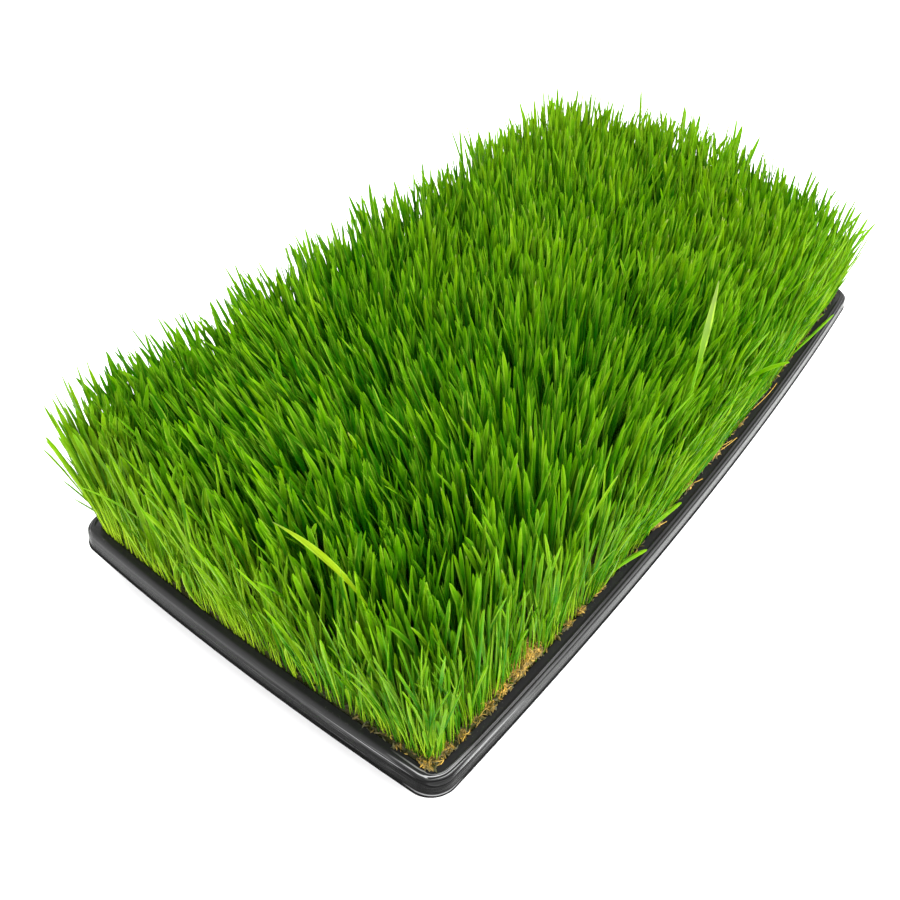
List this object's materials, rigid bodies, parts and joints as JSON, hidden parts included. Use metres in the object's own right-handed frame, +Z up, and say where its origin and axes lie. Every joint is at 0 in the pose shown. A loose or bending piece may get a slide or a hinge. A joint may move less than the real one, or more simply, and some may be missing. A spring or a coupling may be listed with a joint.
{
  "type": "wheatgrass tray",
  "caption": "Shallow black growing tray filled to the brim with a dense sward of young wheatgrass that leans out over the rim.",
  "frame": {"origin": "middle of the tray's base, on the surface that the tray stands on", "axes": "+X along the tray's long side, +Y along its short side, +Z up"},
  "size_m": [0.588, 0.332, 0.15],
  "materials": {
    "tray_plastic": "black moulded plastic, satin on the rim's top and glossier on its skirt",
    "soil": "moist dark growing medium, matt and crumbly",
    "husks_and_roots": "golden seed husks knitted together with pale roots, matt",
    "grass": "fresh green leaf, pale at the stem, translucent with a soft sheen"
  },
  "bodies": {
    "root": {"tray": "tray_plastic", "growing_medium": "soil", "root_mat": "husks_and_roots", "shoots_1_1": "grass", "shoots_1_2": "grass", "shoots_2_1": "grass", "shoots_2_2": "grass", "shoots_3_1": "grass", "shoots_3_2": "grass"}
  },
  "joints": []
}
